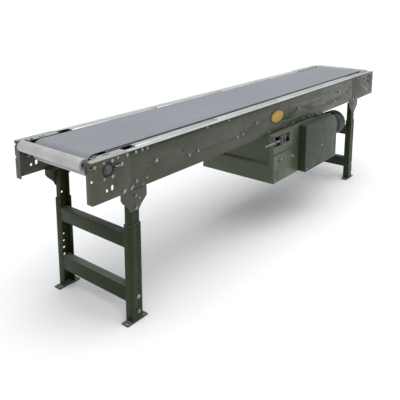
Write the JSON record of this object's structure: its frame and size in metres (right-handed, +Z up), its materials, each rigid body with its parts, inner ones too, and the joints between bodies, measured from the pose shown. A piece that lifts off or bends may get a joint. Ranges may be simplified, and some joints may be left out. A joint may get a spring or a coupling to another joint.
{
  "type": "belt conveyor section",
  "caption": "Powered slider-bed belt conveyor section with an underslung centre drive, safety end rollers and height-adjustable floor supports.",
  "frame": {"origin": "on the floor at the middle of the bounding box", "axes": "+X along the belt from infeed to outfeed, +Z up, -Y towards the side with the chain guard"},
  "size_m": [2.7496, 0.5734, 0.7515],
  "materials": {
    "green_paint": "semi-gloss powder coat",
    "belt_pvc": "smooth black belting, satin",
    "bare_steel": "bright drawn steel",
    "zinc": "zinc plated",
    "cast_iron": "painted casting",
    "black_cover": "black, satin",
    "lagging": "vulcanised rubber lagging",
    "plate_gold": "blank badge, satin gold with dark rim"
  },
  "bodies": {
    "bed": {"side_channel_front": "green_paint", "side_channel_rear": "green_paint", "infeed_bracket_front": "green_paint", "infeed_bracket_rear": "green_paint", "outfeed_bracket_front": "green_paint", "outfeed_bracket_rear": "green_paint", "cross_member_1": "green_paint", "cross_member_2": "green_paint", "cross_member_3": "green_paint", "cross_member_4": "green_paint", "drive_side_plate_front": "green_paint", "drive_side_plate_rear": "green_paint", "drive_belly_pan": "green_paint", "chain_guard": "green_paint", "motor_base": "green_paint", "infeed_pivot_plate_front": "green_paint", "infeed_pivot_plate_rear": "green_paint", "outfeed_pivot_plate_front": "green_paint", "outfeed_pivot_plate_rear": "green_paint", "conveyor_belt": "belt_pvc", "slider_pan": "bare_steel", "edge_strip_front": "zinc", "edge_strip_rear": "zinc", "tail_bearing_front": "cast_iron", "tail_bearing_rear": "cast_iron", "head_bearing_front": "cast_iron", "head_bearing_rear": "cast_iron", "drive_chain": "cast_iron", "reducer_casing": "cast_iron", "motor_casing": "cast_iron", "fan_cover": "black_cover", "conduit_box": "black_cover", "name_plate": "plate_gold"},
    "drive_pulley": {"drive_pulley": "lagging", "drive_sprocket": "bare_steel"},
    "tail_pulley": {"tail_pulley": "bare_steel"},
    "head_pulley": {"head_pulley": "bare_steel"},
    "take_up": {"take_up_block_front": "cast_iron", "take_up_block_rear": "cast_iron", "take_up_screw_front": "zinc", "take_up_screw_rear": "zinc"},
    "take_up_pulley": {"take_up_pulley": "bare_steel"},
    "snub_idler_infeed": {"snub_idler_infeed": "bare_steel"},
    "snub_idler_outfeed": {"snub_idler_outfeed": "bare_steel"},
    "return_roller_infeed": {"return_roller_infeed": "bare_steel"},
    "return_roller_outfeed": {"return_roller_outfeed": "bare_steel"},
    "reducer_output": {"reducer_output_shaft": "bare_steel", "reducer_sprocket": "bare_steel"},
    "motor_rotor": {"motor_rotor": "bare_steel", "motor_fan": "black_cover"},
    "infeed_pop_out": {"pop_out_shaft_infeed": "zinc"},
    "infeed_pop_out_roller": {"pop_out_roller_infeed": "bare_steel"},
    "outfeed_pop_out": {"pop_out_shaft_outfeed": "zinc"},
    "outfeed_pop_out_roller": {"pop_out_roller_outfeed": "bare_steel"},
    "infeed_upper_legs": {"infeed_upper_leg_front": "green_paint", "infeed_upper_leg_rear": "green_paint"},
    "infeed_lower_frame": {"infeed_lower_frame": "green_paint"},
    "outfeed_upper_legs": {"outfeed_upper_leg_front": "green_paint", "outfeed_upper_leg_rear": "green_paint"},
    "outfeed_lower_frame": {"outfeed_lower_frame": "green_paint"}
  },
  "joints": [
    {"name": "drive_pulley_spin", "type": "hinge", "parent": "bed", "child": "drive_pulley", "pos_m": [0.244, 0.04225, 0.44], "axis": [0, 1, 0], "continuous": true},
    {"name": "tail_pulley_spin", "type": "hinge", "parent": "bed", "child": "tail_pulley", "pos_m": [-1.276, 0.04225, 0.6994], "axis": [0, 1, 0], "continuous": true},
    {"name": "head_pulley_spin", "type": "hinge", "parent": "bed", "child": "head_pulley", "pos_m": [1.276, 0.04225, 0.6994], "axis": [0, 1, 0], "continuous": true},
    {"name": "take_up_slide", "type": "slide", "parent": "bed", "child": "take_up", "axis": [1, 0, 0], "range_m": [0, 0.06]},
    {"name": "take_up_pulley_spin", "type": "hinge", "parent": "take_up", "child": "take_up_pulley", "pos_m": [-0.056, 0.04225, 0.5449], "axis": [0, 1, 0], "continuous": true},
    {"name": "snub_idler_infeed_spin", "type": "hinge", "parent": "bed", "child": "snub_idler_infeed", "pos_m": [0.094, 0.04225, 0.6253], "axis": [0, 1, 0], "continuous": true},
    {"name": "snub_idler_outfeed_spin", "type": "hinge", "parent": "bed", "child": "snub_idler_outfeed", "pos_m": [0.344, 0.04225, 0.6253], "axis": [0, 1, 0], "continuous": true},
    {"name": "return_roller_infeed_spin", "type": "hinge", "parent": "bed", "child": "return_roller_infeed", "pos_m": [-0.793, 0.04225, 0.6266], "axis": [0, 1, 0], "continuous": true},
    {"name": "return_roller_outfeed_spin", "type": "hinge", "parent": "bed", "child": "return_roller_outfeed", "pos_m": [0.703, 0.04225, 0.6266], "axis": [0, 1, 0], "continuous": true},
    {"name": "reducer_output_spin", "type": "hinge", "parent": "bed", "child": "reducer_output", "pos_m": [0.469, 0.04225, 0.51], "axis": [0, 1, 0], "continuous": true},
    {"name": "motor_spin", "type": "hinge", "parent": "bed", "child": "motor_rotor", "pos_m": [0.5615, -0.12775, 0.444], "axis": [1, 0, 0], "continuous": true},
    {"name": "infeed_pop_out_lift", "type": "slide", "parent": "bed", "child": "infeed_pop_out", "axis": [0, 0, 1], "range_m": [0, 0.05]},
    {"name": "infeed_pop_out_spin", "type": "hinge", "parent": "infeed_pop_out", "child": "infeed_pop_out_roller", "pos_m": [-1.3507, 0.04225, 0.7274], "axis": [0, 1, 0], "continuous": true},
    {"name": "outfeed_pop_out_lift", "type": "slide", "parent": "bed", "child": "outfeed_pop_out", "axis": [0, 0, 1], "range_m": [0, 0.05]},
    {"name": "outfeed_pop_out_spin", "type": "hinge", "parent": "outfeed_pop_out", "child": "outfeed_pop_out_roller", "pos_m": [1.3507, 0.04225, 0.7274], "axis": [0, 1, 0], "continuous": true},
    {"name": "infeed_support_pivot", "type": "hinge", "parent": "bed", "child": "infeed_upper_legs", "pos_m": [-1.1405, 0.04225, 0.503], "axis": [0, 1, 0], "range_deg": [-10, 10]},
    {"name": "infeed_height_slide", "type": "slide", "parent": "infeed_upper_legs", "child": "infeed_lower_frame", "axis": [0, 0, -1], "range_m": [-0.05, 0.1]},
    {"name": "outfeed_support_pivot", "type": "hinge", "parent": "bed", "child": "outfeed_upper_legs", "pos_m": [1.0205, 0.04225, 0.503], "axis": [0, 1, 0], "range_deg": [-10, 10]},
    {"name": "outfeed_height_slide", "type": "slide", "parent": "outfeed_upper_legs", "child": "outfeed_lower_frame", "axis": [0, 0, -1], "range_m": [-0.05, 0.1]}
  ],
  "couplings": [
    {"joint": "tail_pulley_spin", "follows": "drive_pulley_spin", "ratio": 2.2831},
    {"joint": "head_pulley_spin", "follows": "drive_pulley_spin", "ratio": 2.2831},
    {"joint": "take_up_pulley_spin", "follows": "drive_pulley_spin", "ratio": 2},
    {"joint": "snub_idler_infeed_spin", "follows": "drive_pulley_spin", "ratio": -4},
    {"joint": "snub_idler_outfeed_spin", "follows": "drive_pulley_spin", "ratio": -4},
    {"joint": "return_roller_infeed_spin", "follows": "drive_pulley_spin", "ratio": -4.2158},
    {"joint": "return_roller_outfeed_spin", "follows": "drive_pulley_spin", "ratio": -4.2158},
    {"joint": "reducer_output_spin", "follows": "drive_pulley_spin", "ratio": 1.6},
    {"joint": "motor_spin", "follows": "drive_pulley_spin", "ratio": 32}
  ]
}
